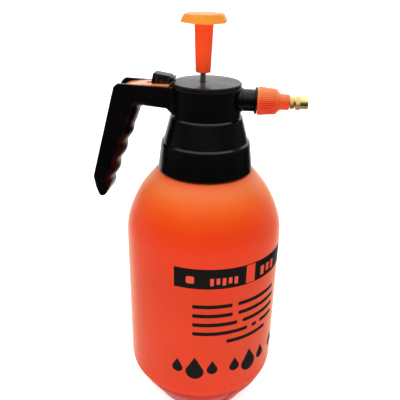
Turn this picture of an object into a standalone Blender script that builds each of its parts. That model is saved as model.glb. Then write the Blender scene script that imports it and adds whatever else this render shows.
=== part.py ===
"""Two-litre compressed-air hand sprayer.

Frame: metres, +Z up, origin at the centre of the bottle's resting face.
The nozzle points along +X and the handle lies along -X.
Dimensions below are millimetres; heights of the head are given from the
top face of the head (H) and turned into world heights with up().
"""
import bpy
import bmesh
import math
from mathutils import Matrix, Vector

MM = 0.001
HEAD_TOP = 268.0          # top face of the head above the resting face

# bottle
BODY_R = 60.0
CREASE_R = 58.8
CREASE_Z = 32.4
WALL = 1.6
NECK_R = 29.5
NECK_BORE = 27.2
NECK_TOP = 221.5
THREAD_CREST = 30.6
LUGS = (-30.0, 150.0)   # centre angles of the two foot lugs
LUG_HALF = 25.0
BOTTLE_SEG = 36

# head
COVER_R = 23.6
DRUM_R = 24.7
DRUM_BORE = 22.8
HEAD_SEG = 40
SPIGOT_Z = -11.6
SPIGOT_R = 7.8
SPIGOT_BORE = 5.5
STUB_R = 7.0
FLANGE_R = 9.5

# pump
PUMP_X = -3.0
CYL_R = 11.5
CYL_BORE = 10.0
CYL_TOP = -6.3
CYL_BOT = -157.0
ROD_R = 2.0
PISTON_R = 9.6

# spray valve
VALVE_X = 16.5
VALVE_R = 5.0
VALVE_TOP = -10.5
VALVE_BOT = -42.0
VALVE_BORE = 3.3
STEM_R = 1.25
SPRING_R = 2.3
SPRING_WIRE = 0.35
SPRING_TURNS = 6

# lever, lock and handle
PIN_X = -30.0
PIN_Z = -9.0
PIN_R = 1.5
HANDLE_HALF = 12.0
HANDLE_WALL = 2.5
LEVER_HALF = 9.1
SADDLE_R = 25.1
YOKE_BORE = 12.6
YOKE_R = 17.0

GAP = 0.3


def up(h):
    """World height of a level given from the head's top face."""
    return HEAD_TOP + h


for old in list(bpy.data.objects):
    bpy.data.objects.remove(old, do_unlink=True)


def material(name, colour, rough, metal=0.0):
    m = bpy.data.materials.new(name)
    m.use_nodes = True
    b = m.node_tree.nodes["Principled BSDF"]
    b.inputs["Base Color"].default_value = (*colour, 1.0)
    b.inputs["Roughness"].default_value = rough
    b.inputs["Metallic"].default_value = metal
    return m


def finish(bm, name, mat=None, angle=35.0):
    """Turn a bmesh in millimetres into a named object in metres."""
    bmesh.ops.recalc_face_normals(bm, faces=bm.faces[:])
    me = bpy.data.meshes.new(name)
    bm.transform(Matrix.Scale(MM, 4))
    bm.to_mesh(me)
    bm.free()
    ob = bpy.data.objects.new(name, me)
    bpy.context.scene.collection.objects.link(ob)
    me.shade_smooth()
    me.set_sharp_from_angle(angle=math.radians(angle))
    if mat:
        me.materials.append(mat)
    return ob


def lathe_bm(profile, seg, axis="z", centre=(0, 0, 0), radius_at=None, phase=0.0):
    """Closed solid of revolution.

    profile: (radius, height) points round the section, in order.
    axis: the direction of the heights, "x", "y" or "z".
    radius_at(radius, height, angle) may change a radius with the angle.
    """
    bm = bmesh.new()
    cx, cy, cz = centre

    def place(r, h, a):
        if axis == "z":
            return (cx + r * math.cos(a), cy + r * math.sin(a), cz + h)
        if axis == "y":
            return (cx + r * math.cos(a), cy + h, cz + r * math.sin(a))
        return (cx + h, cy + r * math.cos(a), cz + r * math.sin(a))

    rings = []
    count = len(profile)
    for i, (r, h) in enumerate(profile):
        if r < 1e-6:
            flat = any(abs(profile[j % count][1] - h) < 1e-6 and profile[j % count][0] > 1e-6
                       for j in (i - 1, i + 1))
            rings.append([] if flat else [bm.verts.new(place(0.0, h, 0.0))])
        else:
            row = []
            for k in range(seg):
                a = 2 * math.pi * k / seg + phase
                rr = radius_at(r, h, a) if radius_at else r
                row.append(bm.verts.new(place(rr, h, a)))
            rings.append(row)
    n = len(rings)
    for i in range(n):
        a, b = rings[i], rings[(i + 1) % n]
        if len(a) < 2 and len(b) < 2:
            continue
        if not a or not b:             # a flat end is one face
            bm.faces.new(a or b)
            continue
        for k in range(seg):
            k2 = (k + 1) % seg
            if len(a) == 1:
                bm.faces.new((a[0], b[k], b[k2]))
            elif len(b) == 1:
                bm.faces.new((a[k], b[0], a[k2]))
            else:
                bm.faces.new((a[k], b[k], b[k2], a[k2]))
    return bm


def lathe(name, profile, seg, mat=None, angle=35.0, **kw):
    return finish(lathe_bm(profile, seg, **kw), name, mat, angle)


def prism(name, outline, y0, y1, mat=None, angle=35.0):
    """Solid with the given XZ outline between two Y planes."""
    bm = bmesh.new()
    a = [bm.verts.new((x, y0, z)) for x, z in outline]
    b = [bm.verts.new((x, y1, z)) for x, z in outline]
    bm.faces.new(a)
    bm.faces.new(list(reversed(b)))
    n = len(outline)
    for i in range(n):
        j = (i + 1) % n
        bm.faces.new((a[i], b[i], b[j], a[j]))
    return finish(bm, name, mat, angle)


def block(name, x0, x1, y0, y1, z0, z1, mat=None):
    return prism(name, [(x0, z0), (x1, z0), (x1, z1), (x0, z1)], y0, y1, mat)


def boolean(target, other, operation):
    """Apply an exact Boolean and drop the second object."""
    m = target.modifiers.new("cut", "BOOLEAN")
    m.operation = operation
    m.solver = "EXACT"
    m.object = other
    deps = bpy.context.evaluated_depsgraph_get()
    new = bpy.data.meshes.new_from_object(target.evaluated_get(deps))
    old = target.data
    target.modifiers.clear()
    target.data = new
    new.name = target.name
    bpy.data.meshes.remove(old)
    bpy.data.objects.remove(other, do_unlink=True)
    return target


def minus(target, *others):
    for o in others:
        boolean(target, o, "DIFFERENCE")
    return target


def plus(target, *others):
    for o in others:
        boolean(target, o, "UNION")
    return target


def smooth(ob, angle=35.0):
    ob.data.shade_smooth()
    ob.data.set_sharp_from_angle(angle=math.radians(angle))
    return ob


def origin(ob, x, y, z):
    """Put an object's origin at a point given in millimetres."""
    p = Vector((x, y, z)) * MM
    ob.data.transform(Matrix.Translation(-p))
    ob.location = p
    return ob


def only_material(ob, mat):
    ob.data.materials.clear()
    ob.data.materials.append(mat)
    for f in ob.data.polygons:
        f.material_index = 0
    return ob


ORANGE_BOTTLE = material("orange_bottle", (0.86, 0.10, 0.02), 0.32)
BLACK = material("black_shell", (0.012, 0.011, 0.010), 0.22)
BLACK_COVER = material("black_cover", (0.013, 0.012, 0.011), 0.28)
BLACK_GRIP = material("black_grip", (0.012, 0.010, 0.009), 0.30)
ORANGE_LEVER = material("orange_lever", (0.88, 0.14, 0.03), 0.30)
ORANGE_KNOB = material("orange_knob", (0.90, 0.28, 0.05), 0.30)
ORANGE_NUT = material("orange_nut", (0.90, 0.17, 0.05), 0.38)
BRASS = material("brass", (0.72, 0.48, 0.16), 0.25, 1.0)
STEEL = material("steel", (0.60, 0.60, 0.60), 0.25, 1.0)
RUBBER = material("rubber", (0.02, 0.02, 0.02), 0.75)
NATURAL = material("natural_plastic", (0.78, 0.77, 0.72), 0.42)
WHITE = material("white_plastic", (0.85, 0.85, 0.83), 0.40)


def own(mat, name):
    m = mat.copy()
    m.name = name
    return m


# ------------------------------------------------------------------ bottle
def lug_weight(angle):
    """1 on a foot lug, 0 between lugs."""
    deg = math.degrees(angle)
    for c in LUGS:
        d = abs((deg - c + 180.0) % 360.0 - 180.0)
        if d < LUG_HALF:
            return 1.0
    return 0.0


def foot_radius(r, h, angle):
    """The tapered foot stands proud on its lugs below the crease."""
    if h >= CREASE_Z - 0.01 or r < 39.0:
        return r
    t = (CREASE_Z - h) / CREASE_Z
    proud = 1.2 + 0.5 * min(t, 0.9)
    return r + proud * lug_weight(angle)


bottle_outer = [
    (0, 0), (11, 0), (13.5, 2.6), (28, 2.6), (30.5, 0), (37.8, 0), (39.4, 1.0),
    (41.0, 4.0), (46.8, 13), (53.0, 22.4), (56.4, 29.5), (57.1, 31.9),
    (CREASE_R, CREASE_Z), (59.5, 35), (59.9, 41), (BODY_R, 60), (BODY_R, 150),
    (59.5, 160), (57.8, 168), (53.9, 178), (49.1, 187), (43.2, 195),
    (37.8, 201.2), (36.0, 202.8), (34.6, 203.4), (30.3, 203.6), (NECK_R, 204.4),
]
for z0 in (208.0, 214.0):      # thread lands round the neck
    bottle_outer += [(NECK_R, z0), (THREAD_CREST, z0 + 1.2), (NECK_R, z0 + 2.4)]
bottle_outer += [(NECK_R, NECK_TOP - 0.4), (NECK_R - 0.4, NECK_TOP)]
bottle_inner = [
    (NECK_BORE, NECK_TOP), (NECK_BORE, 203.0), (30.0, 201.9), (34.2, 201.4),
    (36.3, 200.0), (41.8, 193.6), (47.7, 185.9), (52.4, 177.0), (56.1, 167.3),
    (58.0, 158.0), (58.4, 146), (58.4, 50), (57.6, 35.6), (55.2, 31.6),
    (51.4, 23.2), (45.4, 13.9), (39.4, 4.6), (36.4, 1.8), (31.4, 1.8), (28.9, 4.3),
    (12.6, 4.3), (10.2, 1.8), (0, 1.8),
]
bottle = lathe("bottle", bottle_outer + bottle_inner, BOTTLE_SEG, ORANGE_BOTTLE,
               radius_at=foot_radius, phase=math.radians(5.0))

neck_gasket = lathe("neck_gasket", [(27.0, up(-46.2)), (30.6, up(-46.2)),
                                    (30.6, up(-44.4)), (27.0, up(-44.4))],
                    32, own(RUBBER, "gasket_rubber"))

# -------------------------------------------------------------------- head
housing_profile = [
    (24.2, -2.8), (DRUM_R, -3.4), (25.0, -23.8), (26.2, -24.7), (26.6, -25.8),
    (30.9, -42.0), (32.4, -42.9), (32.8, -44.2), (35.2, -63.0), (34.7, -63.7),
    (33.3, -63.7), (32.0, -48.0), (31.6, -44.1), (26.0, -44.1), (26.0, -42.4),
    (28.5, -42.4), (28.4, -41.0), (24.4, -26.2), (24.0, -24.2), (0, -24.2),
    (0, -21.7), (DRUM_BORE, -21.7), (DRUM_BORE, -2.8),
]
head_housing = lathe("head_housing", [(r, up(h)) for r, h in housing_profile],
                     HEAD_SEG, BLACK)
spigot = lathe("spigot_tool", [
    (0, 20.5), (8.5, 20.5), (8.5, 25.9), (8.1, 26.6), (SPIGOT_R, 26.9),
    (SPIGOT_R, 34.3), (9.1, 34.3), (FLANGE_R, 34.7), (FLANGE_R, 35.7), (9.1, 36.0),
    (STUB_R, 36.0), (STUB_R, 46.0), (STUB_R - 0.5, 46.5), (0, 46.5)], 28,
    axis="x", centre=(0, 0, up(SPIGOT_Z)))
inner_side = lathe("inner_tool", [(0, up(-23.0)), (DRUM_BORE + 1.0, up(-23.0)),
                                  (DRUM_BORE + 1.0, up(-1.0)), (0, up(-1.0))], 48,
                   phase=0.03)
minus(spigot, inner_side)
plus(head_housing, spigot)
minus(head_housing,
      lathe("bore_tool", [(0, 18), (SPIGOT_BORE, 18), (SPIGOT_BORE, 50), (0, 50)], 20,
            axis="x", centre=(0, 0, up(SPIGOT_Z))),
      lathe("pump_hole", [(0, up(-30)), (CYL_R + GAP, up(-30)), (CYL_R + GAP, up(-15)),
                          (0, up(-15))], 28, centre=(PUMP_X, 0, 0)),
      lathe("valve_hole", [(0, up(-30)), (VALVE_R + GAP, up(-30)),
                           (VALVE_R + GAP, up(-15)), (0, up(-15))], 20,
            centre=(VALVE_X, 0, 0)),
      block("window_tool", -29, -19, -7, 7, up(-12.2), up(-5.8)))
only_material(smooth(head_housing), BLACK)

top_cover = lathe("top_cover", [
    (0, up(0)), (COVER_R, up(0)), (24.2, up(-0.7)), (24.2, up(-2.5)),
    (22.4, up(-2.5)), (22.4, up(-4.2)), (21.4, up(-4.2)), (21.4, up(-2.3)),
    (0, up(-2.3))], HEAD_SEG, BLACK_COVER)
minus(top_cover, lathe("rod_hole", [(0, up(-5)), (2.5, up(-5)), (2.5, up(2)),
                                    (0, up(2))], 20, centre=(PUMP_X, 0, 0)))
only_material(smooth(top_cover), BLACK_COVER)

# ------------------------------------------------------------------ handle
def finger_edge(steps=26):
    """Inner edge of the grip: a slanted line with a shallow wave for the fingers."""
    pts = []
    top, bottom = (-53.2, -30.0), (-77.0, -85.0)
    ridge, pitch, depth = -38.5, 15.2, 1.15
    for k in range(steps + 1):
        t = k / steps
        z = top[1] + (bottom[1] - top[1]) * t
        x = top[0] + (bottom[0] - top[0]) * t
        fade = min(1.0, t * 5.0, (1.0 - t) * 6.0)
        x += depth * fade * math.cos(2 * math.pi * (z - ridge) / pitch)
        pts.append((x, z))
    return pts


handle_outline = [(-21.0, -3.0), (-60.6, -3.0), (-63.6, -3.9), (-65.2, -6.0),
                  (-67.0, -11.0), (-84.3, -73.4), (-84.1, -77.0), (-82.6, -82.8),
                  (-80.9, -88.0), (-79.6, -90.6), (-78.2, -91.0), (-77.2, -89.6)]
handle_outline += list(reversed(finger_edge()))
handle_outline += [(-51.6, -24.6), (-50.4, -21.2), (-48.4, -18.8), (-45.4, -17.8),
                   (-26.8, -17.8), (-21.0, -23.5)]
handle_outline = [(x, up(z)) for x, z in handle_outline]
handle_frame = prism("handle_frame", handle_outline, -HANDLE_HALF, HANDLE_HALF, BLACK_GRIP)
channel = [(-18, 3), (-110, 3), (-110, -80), (-80.0, -80), (-74.6, -67), (-57.0, -26.0),
           (-54.6, -18.6), (-52.0, -15.6), (-18, -15.6)]
inner_half = HANDLE_HALF - HANDLE_WALL
minus(handle_frame,
      prism("channel_tool", [(x, up(z)) for x, z in channel], -inner_half, inner_half),
      lathe("saddle_tool", [(0, up(-40)), (SADDLE_R, up(-40)), (SADDLE_R, up(10)),
                            (0, up(10))], 72),
      lathe("pin_tool", [(0, -11.2), (PIN_R + GAP, -11.2), (PIN_R + GAP, 11.2), (0, 11.2)],
            16, axis="y", centre=(PIN_X, 0, up(PIN_Z))))
only_material(smooth(handle_frame), BLACK_GRIP)

lever_pin = origin(lathe("lever_pin", [(0, -10.9), (PIN_R - 0.3, -10.9), (PIN_R, -10.6),
                                       (PIN_R, 10.6), (PIN_R - 0.3, 10.9), (0, 10.9)],
                         16, own(STEEL, "pin_steel"), axis="y",
                         centre=(PIN_X, 0, up(PIN_Z))), PIN_X, 0, up(PIN_Z))

# ------------------------------------------------------- lever and its lock
pad = [(-25.7, -0.9), (-44.5, -0.9), (-50.5, -1.4), (-56.0, -2.4), (-60.6, -4.1),
       (-63.6, -6.8), (-65.4, -11.0), (-67.9, -20.0), (-70.2, -28.4), (-67.8, -29.0),
       (-65.4, -20.6), (-62.9, -11.8), (-61.1, -8.6), (-57.8, -6.2), (-52.0, -4.7),
       (-44.5, -4.0), (-25.7, -4.0)]
thumb_lever = prism("thumb_lever", [(x, up(z)) for x, z in pad], -LEVER_HALF, LEVER_HALF,
                    ORANGE_LEVER)
yoke_z = (up(-10.1), up(-7.9))
yoke = lathe("yoke_tool", [(YOKE_BORE, yoke_z[0]), (YOKE_R, yoke_z[0]),
                           (YOKE_R, yoke_z[1]), (YOKE_BORE, yoke_z[1])], 32,
             centre=(PUMP_X, 0, 0))
plus(yoke, block("bridge_tool", -29, -17, -6, 6, *yoke_z))
plus(yoke, block("tongue_tool", 11.5, 19.5, -3.6, 3.6, *yoke_z))
minus(yoke, block("slot_tool", VALVE_X, 22, -1.7, 1.7, up(-14), up(-4)),
      lathe("stem_tool", [(0, up(-14)), (1.7, up(-14)), (1.7, up(-4)), (0, up(-4))], 16,
            centre=(VALVE_X, 0, 0)))
plus(thumb_lever,
     lathe("hub_tool", [(0, -LEVER_HALF), (4.2, -LEVER_HALF), (4.2, LEVER_HALF),
                        (0, LEVER_HALF)], 20, axis="y", centre=(PIN_X, 0, up(PIN_Z))),
     block("web_tool", -33.0, -27.0, -8.7, 8.7, up(-9.0), up(-3.5)),
     yoke)
minus(thumb_lever,
      lathe("pin_bore", [(0, -13), (PIN_R + GAP, -13), (PIN_R + GAP, 13), (0, 13)], 16,
            axis="y", centre=(PIN_X, 0, up(PIN_Z))),
      block("lock_slot", -43.6, -35.2, -2.3, 2.3, up(-6), up(1)))
only_material(smooth(thumb_lever), ORANGE_LEVER)
origin(thumb_lever, PIN_X, 0, up(PIN_Z))

lock_slider = prism("lock_slider", [(x, up(z)) for x, z in [
    (-39.2, -0.6), (-37.8, 5.3), (-25.9, 3.6), (-25.2, 2.8), (-25.2, -0.6)]],
    -5.5, 5.5, own(BLACK, "black_lock"))
plus(lock_slider,
     block("nose_tool", -26.0, -23.2, -5.2, 5.2, up(0.45), up(2.5)),
     block("neck_tool", -38.8, -36.2, -2.0, 2.0, up(-5.0), up(0.4)),
     block("foot_tool", -38.8, -35.8, -3.8, 3.8, up(-6.2), up(-4.4)))
smooth(lock_slider)

# -------------------------------------------------------------------- pump
def on_pump(name, profile, seg, mat, angle=35.0):
    ob = lathe(name, [(r, up(h)) for r, h in profile], seg, mat, angle,
               centre=(PUMP_X, 0, 0))
    return origin(ob, PUMP_X, 0, 0)


pump_cylinder = on_pump("pump_cylinder", [
    (CYL_BORE, CYL_TOP), (CYL_R, CYL_TOP), (CYL_R, -19.4), (13.8, -19.4),
    (13.8, -21.4), (CYL_R, -21.4), (CYL_R, CYL_BOT), (CYL_BORE, CYL_BOT)], 28,
    own(NATURAL, "cylinder_plastic"))
rod_guide = on_pump("rod_guide", [
    (ROD_R + GAP, -13.0), (CYL_BORE - GAP, -13.0), (CYL_BORE - GAP, -6.0), (12.0, -6.0),
    (12.0, -4.8), (ROD_R + GAP, -4.8)], 24, own(WHITE, "guide_plastic"))
cylinder_foot = on_pump("cylinder_foot", [
    (1.6, -150.2), (CYL_BORE - GAP, -150.2), (CYL_BORE - GAP, -157.3), (CYL_R, -157.3),
    (CYL_R, -160.0), (6.2, -160.0), (6.2, -153.2), (1.6, -153.2)], 24,
    own(WHITE, "foot_plastic"))
check_flap = on_pump("check_flap", [
    (0, -153.5), (5.2, -153.5), (5.2, -154.7), (0, -154.7)], 20, own(RUBBER, "flap_rubber"))
check_cage = on_pump("check_cage", [
    (2.4, -157.6), (5.9, -157.6), (5.9, -159.8), (2.4, -159.8)], 20,
    own(WHITE, "cage_plastic"))
piston = on_pump("piston", [
    (ROD_R + GAP, -130.0), (PISTON_R, -130.0), (PISTON_R, -132.6), (7.8, -132.6),
    (7.8, -135.6), (PISTON_R, -135.6), (PISTON_R, -138.2), (ROD_R + GAP, -138.2)], 24,
    own(NATURAL, "piston_plastic"))
piston_ring = on_pump("piston_ring", [
    (8.1, -132.9), (9.75, -132.9), (9.75, -135.3), (8.1, -135.3)], 24,
    own(RUBBER, "piston_rubber"))
piston_washer = on_pump("piston_washer", [
    (ROD_R + GAP, -138.5), (5.5, -138.5), (5.5, -139.5), (ROD_R + GAP, -139.5)], 20,
    own(STEEL, "washer_steel"))
pump_rod = on_pump("pump_rod", [
    (0, 20.0), (ROD_R, 20.0), (ROD_R, -143.4), (0, -143.4)], 16, STEEL)
rod_nut = on_pump("rod_nut", [
    (ROD_R + GAP, -139.8), (3.9, -139.8), (3.9, -142.8), (ROD_R + GAP, -142.8)], 6,
    own(STEEL, "nut_steel"))
rod_collar = on_pump("rod_collar", [
    (ROD_R + GAP, -127.9), (4.2, -127.9), (4.2, -129.7), (ROD_R + GAP, -129.7)], 16,
    own(STEEL, "collar_steel"))

# knob: flared octagonal cap on a tapered round stem
KNOB_FLAT_TOP = 13.4
KNOB_FLAT_LOW = 15.45
OCT = 1.0 / math.cos(math.pi / 8)
pump_knob = lathe("pump_knob", [
    (0, up(46.8)), (12.8 * OCT, up(46.8)), (KNOB_FLAT_TOP * OCT, up(46.2)),
    (KNOB_FLAT_LOW * OCT, up(40.4)), ((KNOB_FLAT_LOW - 0.6) * OCT, up(39.9)), (0, up(39.9))],
    8, ORANGE_KNOB, centre=(PUMP_X, 0, 0), phase=math.pi / 8)
plus(pump_knob, lathe("stem_tool", [(0, up(6.6)), (5.0, up(6.6)), (5.35, up(7.0)),
                                    (6.6, up(39.0)), (6.6, up(42)), (0, up(42))], 24,
                      centre=(PUMP_X, 0, 0)))
minus(pump_knob, lathe("bore_tool", [(0, up(4)), (ROD_R + GAP, up(4)),
                                     (ROD_R + GAP, up(20.4)), (0, up(20.4))], 16,
                       centre=(PUMP_X, 0, 0)))
only_material(smooth(pump_knob, 30.0), ORANGE_KNOB)
origin(pump_knob, PUMP_X, 0, 0)


# ------------------------------------------------------------- spray valve
def on_valve(name, profile, seg, mat, angle=35.0):
    ob = lathe(name, [(r, up(h)) for r, h in profile], seg, mat, angle,
               centre=(VALVE_X, 0, 0))
    return ob


valve_body = on_valve("valve_body", [
    (VALVE_BORE, VALVE_TOP), (VALVE_R, VALVE_TOP), (VALVE_R, -24.5), (6.5, -24.5),
    (6.5, -26.2), (VALVE_R, -26.2), (VALVE_R, VALVE_BOT), (3.35, VALVE_BOT),
    (3.35, -34.0), (1.6, -34.0), (1.6, -31.3), (VALVE_BORE, -31.3)], 24,
    own(NATURAL, "valve_plastic"))
minus(valve_body, lathe("port_tool", [(0, VALVE_X + 1.5), (2.1, VALVE_X + 1.5),
                                      (2.1, 24), (0, 24)], 16, axis="x",
                        centre=(0, 0, up(-15.0))))
only_material(smooth(valve_body), valve_body.data.materials[0])
outlet_tube = lathe("outlet_tube", [(1.1, 20.2), (1.8, 20.2), (1.8, 31.0), (1.1, 31.0)], 14,
                    own(NATURAL, "outlet_plastic"), axis="x", centre=(0, 0, up(-15.0)))
valve_gland = on_valve("valve_gland", [
    (STEM_R + GAP, -12.6), (3.0, -12.6), (3.0, -10.7), (STEM_R + GAP, -10.7)], 16,
    own(WHITE, "gland_plastic"))
valve_stem = on_valve("valve_stem", [
    (0, -6.4), (3.0, -6.4), (3.0, -7.6), (STEM_R, -7.6), (STEM_R, -27.5), (2.6, -27.5),
    (2.6, -30.1), (0.8, -30.1), (0.8, -31.0), (0, -31.0)], 16, own(WHITE, "stem_plastic"))
origin(valve_stem, VALVE_X, 0, 0)
valve_seal = on_valve("valve_seal", [
    (1.1, -30.4), (2.7, -30.4), (2.7, -31.0), (1.1, -31.0)], 16,
    own(RUBBER, "seal_rubber"))
origin(valve_seal, VALVE_X, 0, 0)


def coil(name, x, r, wire, z0, z1, turns, per_turn, mat):
    """Round-wire compression spring as one swept solid."""
    cu = bpy.data.curves.new(name, "CURVE")
    cu.dimensions = "3D"
    cu.bevel_depth = wire * MM
    cu.bevel_resolution = 1
    cu.use_fill_caps = True
    n = turns * per_turn
    sp = cu.splines.new("POLY")
    sp.points.add(n)
    for k in range(n + 1):
        a = 2 * math.pi * k / per_turn
        z = z0 + (z1 - z0) * k / n
        sp.points[k].co = ((x + r * math.cos(a)) * MM, r * math.sin(a) * MM, z * MM, 1)
    ob = bpy.data.objects.new(name, cu)
    bpy.context.scene.collection.objects.link(ob)
    cu.materials.append(mat)
    return ob


valve_spring = coil("valve_spring", VALVE_X, SPRING_R, SPRING_WIRE, up(-26.7), up(-13.4),
                    SPRING_TURNS, 10, own(STEEL, "spring_steel"))
dip_tube = on_valve("dip_tube", [
    (2.0, -34.4), (3.0, -34.4), (3.0, -250.0), (2.0, -250.0)], 16,
    own(NATURAL, "dip_plastic"))
strainer = on_valve("strainer", [
    (3.35, -243.0), (4.8, -243.0), (4.8, -257.0), (4.2, -260.5), (1.0, -260.5),
    (1.0, -259.6), (3.6, -256.4), (3.6, -250.6), (3.35, -250.3)], 16,
    own(WHITE, "strainer_plastic"))

# ------------------------------------------------------------------ nozzle
def on_nozzle(name, profile, seg, mat, angle=35.0):
    ob = lathe(name, profile, seg, mat, angle, axis="x", centre=(0, 0, up(SPIGOT_Z)))
    return ob


nozzle_nut = on_nozzle("nozzle_nut", [
    (STUB_R + GAP, 36.4), (9.9, 36.4), (10.1, 36.9), (8.9, 49.0), (8.4, 49.6), (5.9, 51.9),
    (5.6, 52.6), (5.5, 57.6), (4.9, 58.6), (3.5, 58.6), (3.5, 47.6), (STUB_R + GAP, 47.6)],
    32, ORANGE_NUT)
nozzle_seal = on_nozzle("nozzle_seal", [
    (5.0, 46.7), (7.0, 46.7), (7.0, 47.3), (5.0, 47.3)], 20, own(RUBBER, "nozzle_rubber"))
swirl_core = on_nozzle("swirl_core", [
    (0, 47.9), (3.2, 47.9), (3.2, 49.4), (1.0, 49.4), (1.0, 66.5), (0, 66.5)], 14,
    own(WHITE, "core_plastic"))
brass_tip = on_nozzle("brass_tip", [
    (1.4, 50.2), (3.2, 50.2), (3.2, 52.0), (2.35, 52.0), (2.35, 53.6), (3.2, 53.6),
    (3.2, 58.9), (4.6, 58.9), (4.6, 61.6), (3.7, 61.9), (3.7, 62.5), (4.3, 62.8),
    (4.3, 66.0), (4.35, 66.4), (4.35, 71.0), (4.0, 71.4), (1.6, 71.4), (0.5, 70.3),
    (0.5, 68.8), (1.4, 67.9)], 24, BRASS)
hexes = lathe("hex_tool", [(3.9, 62.75), (5.25, 62.75), (5.25, 65.9), (3.9, 65.9)], 6,
              axis="x", centre=(0, 0, up(SPIGOT_Z)))
plus(brass_tip, hexes)
only_material(smooth(brass_tip), BRASS)
origin(brass_tip, 0, 0, up(SPIGOT_Z))
tip_oring = on_nozzle("tip_oring", [
    (2.65, 52.3), (3.2, 52.3), (3.2, 53.3), (2.65, 53.3)], 16, own(RUBBER, "oring_rubber"))
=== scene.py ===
import math
import bpy
import bmesh
from mathutils import Matrix, Vector


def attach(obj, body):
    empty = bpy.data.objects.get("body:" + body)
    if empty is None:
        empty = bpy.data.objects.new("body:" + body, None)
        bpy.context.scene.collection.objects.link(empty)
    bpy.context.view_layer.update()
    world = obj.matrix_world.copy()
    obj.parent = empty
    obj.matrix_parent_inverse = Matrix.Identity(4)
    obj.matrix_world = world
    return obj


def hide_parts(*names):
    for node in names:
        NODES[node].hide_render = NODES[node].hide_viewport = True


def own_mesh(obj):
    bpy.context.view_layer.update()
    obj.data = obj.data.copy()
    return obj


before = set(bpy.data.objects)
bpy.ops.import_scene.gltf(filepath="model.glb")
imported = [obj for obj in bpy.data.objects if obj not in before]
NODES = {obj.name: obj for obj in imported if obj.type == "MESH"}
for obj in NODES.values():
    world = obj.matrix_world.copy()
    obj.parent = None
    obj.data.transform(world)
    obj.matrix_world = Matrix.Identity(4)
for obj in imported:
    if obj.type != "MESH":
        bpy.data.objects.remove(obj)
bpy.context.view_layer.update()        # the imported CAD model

MM = 0.001
TOP = 268.0               # top face of the head above the floor, mm
PUMP_X = -3.0
VALVE_X = 16.5
SPIGOT_Z = -11.6
PIN = (-30.0, -9.0)


def up(h):
    return TOP + h


# =============================================================== materials
def node(nt, kind, **props):
    n = nt.nodes.new(kind)
    for k, v in props.items():
        setattr(n, k, v)
    return n


def new_material(name):
    m = bpy.data.materials.new(name)
    m.use_nodes = True
    nt = m.node_tree
    return m, nt, nt.nodes["Principled BSDF"]


def noise(nt, coord, scale, detail=3.0, rough=0.5, stretch=None, distortion=0.0):
    n = node(nt, "ShaderNodeTexNoise")
    n.inputs["Scale"].default_value = scale
    n.inputs["Detail"].default_value = detail
    n.inputs["Roughness"].default_value = rough
    n.inputs["Distortion"].default_value = distortion
    if stretch:
        mp = node(nt, "ShaderNodeMapping")
        mp.inputs["Scale"].default_value = stretch
        nt.links.new(coord, mp.inputs["Vector"])
        nt.links.new(mp.outputs[0], n.inputs["Vector"])
    else:
        nt.links.new(coord, n.inputs["Vector"])
    return n.outputs["Fac"]


def ranged(nt, value, a, b, lo, hi):
    mr = node(nt, "ShaderNodeMapRange")
    mr.inputs["From Min"].default_value = a
    mr.inputs["From Max"].default_value = b
    mr.inputs["To Min"].default_value = lo
    mr.inputs["To Max"].default_value = hi
    nt.links.new(value, mr.inputs["Value"])
    return mr.outputs["Result"]


def math_node(nt, op, a, b=None, clamp=False):
    n = node(nt, "ShaderNodeMath", operation=op, use_clamp=clamp)
    for i, v in enumerate((a, b)):
        if v is None:
            continue
        if isinstance(v, (int, float)):
            n.inputs[i].default_value = v
        else:
            nt.links.new(v, n.inputs[i])
    return n.outputs[0]


def mix_colour(nt, fac, a, b, mode="MIX"):
    n = node(nt, "ShaderNodeMix", data_type="RGBA", blend_type=mode)
    for sock, v in ((n.inputs[0], fac), (n.inputs[6], a), (n.inputs[7], b)):
        if isinstance(v, (int, float)):
            sock.default_value = v
        elif isinstance(v, tuple):
            sock.default_value = (*v, 1.0) if len(v) == 3 else v
        else:
            nt.links.new(v, sock)
    return n.outputs[2]


def bump_chain(nt, pairs):
    """pairs: (height output, distance in metres, strength)."""
    last = None
    for h, dist, strength in pairs:
        b = node(nt, "ShaderNodeBump")
        b.inputs["Distance"].default_value = dist
        b.inputs["Strength"].default_value = strength
        nt.links.new(h, b.inputs["Height"])
        if last:
            nt.links.new(last, b.inputs["Normal"])
        last = b.outputs[0]
    return last


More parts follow.
